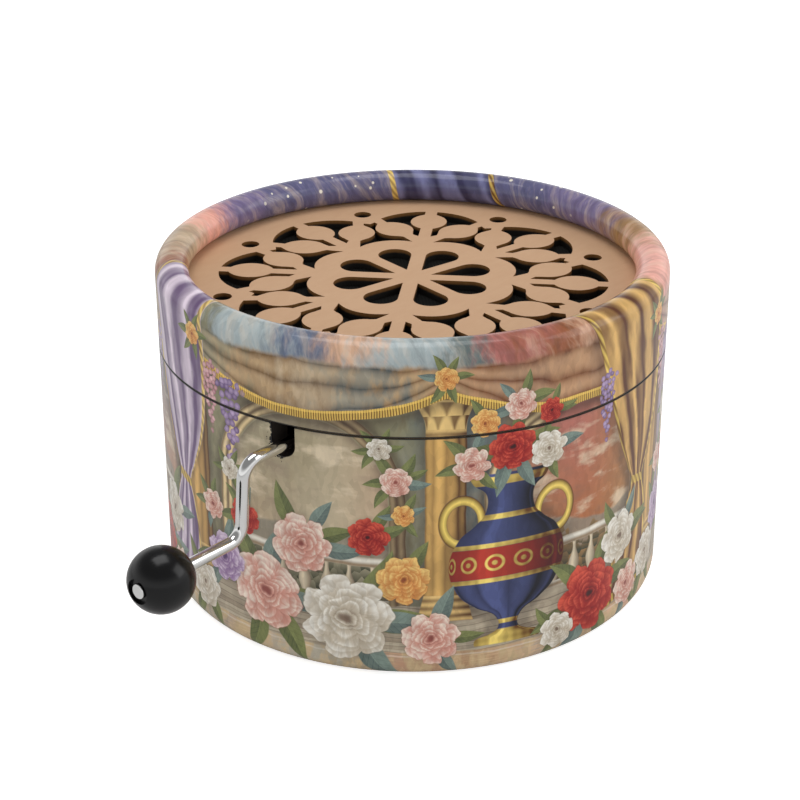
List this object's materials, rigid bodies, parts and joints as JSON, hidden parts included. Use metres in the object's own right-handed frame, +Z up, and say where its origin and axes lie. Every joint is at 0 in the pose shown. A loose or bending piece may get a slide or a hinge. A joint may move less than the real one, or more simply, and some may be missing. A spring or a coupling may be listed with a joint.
{
  "type": "hand crank music box",
  "caption": "Round paper box with a pierced rosette grille in its lift-off lid, a hand crank at the side and a worm-driven pinned drum and comb inside.",
  "frame": {"origin": "centre of the foot ring, on the surface that the box stands on", "axes": "+Z up along the box's axis; the crank shaft leaves the box along -Y, beside the middle at +X"},
  "size_m": [0.075, 0.1001, 0.05],
  "materials": {
    "printed_paper": "satin printed paper in soft painted colours",
    "tube_board": "wound kraft tube, matte",
    "white_board": "matte grey-white board",
    "grille_board": "fine laser-cut board, tan face and browned cut edges",
    "black_cloth": "matte black woven cloth",
    "sound_board": "sanded fibreboard",
    "cast_zinc": "as cast, satin",
    "steel": "satin rolled steel",
    "chrome_wire": "bright plated wire",
    "brass": "turned brass, satin",
    "lead": "dull grey cast metal",
    "white_plastic": "moulded, satin",
    "black_knob": "semi-gloss black",
    "screw_steel": "zinc-plated"
  },
  "bodies": {
    "base": {"base_tube": "tube_board", "base_wrap": "printed_paper", "base_floor": "white_board", "neck_sleeve": "white_board", "spacer_ring": "tube_board", "movement_board": "sound_board", "board_screws": "screw_steel", "bedplate": "cast_zinc", "comb": "steel", "comb_weights": "lead", "comb_dampers": "steel", "comb_screws": "screw_steel", "worm_bracket": "steel", "bracket_screws": "screw_steel", "crank_bushes": "brass", "arbor_bushes": "brass"},
    "cylinder": {"drum_shell": "brass", "drum_caps": "brass", "drum_pins": "steel", "drum_arbor": "steel", "arbor_clips": "steel", "drive_wheel": "white_plastic"},
    "crank": {"crank_rod": "chrome_wire", "worm": "brass", "thrust_washers": "white_plastic"},
    "knob": {"crank_knob": "black_knob"},
    "lid": {"lid_tube": "tube_board", "lid_wrap": "printed_paper", "rosette_grille": "grille_board", "grille_liner": "black_cloth", "retainer_ring": "white_board"}
  },
  "joints": [
    {"name": "crank_turn", "type": "hinge", "parent": "base", "child": "crank", "pos_m": [0.0085, 0, 0.03395], "axis": [0, 1, 0], "continuous": true},
    {"name": "cylinder_turn", "type": "hinge", "parent": "base", "child": "cylinder", "pos_m": [0, -0.007, 0.02495], "axis": [1, 0, 0], "continuous": true},
    {"name": "knob_spin", "type": "hinge", "parent": "crank", "child": "knob", "pos_m": [0.00752, -0.058, 0.02249], "axis": [0, 1, 0], "continuous": true},
    {"name": "lid_lift", "type": "slide", "parent": "base", "child": "lid", "axis": [0, 0, 1], "range_m": [0, 0.03]}
  ],
  "couplings": [
    {"joint": "cylinder_turn", "follows": "crank_turn", "ratio": 0.066667}
  ]
}
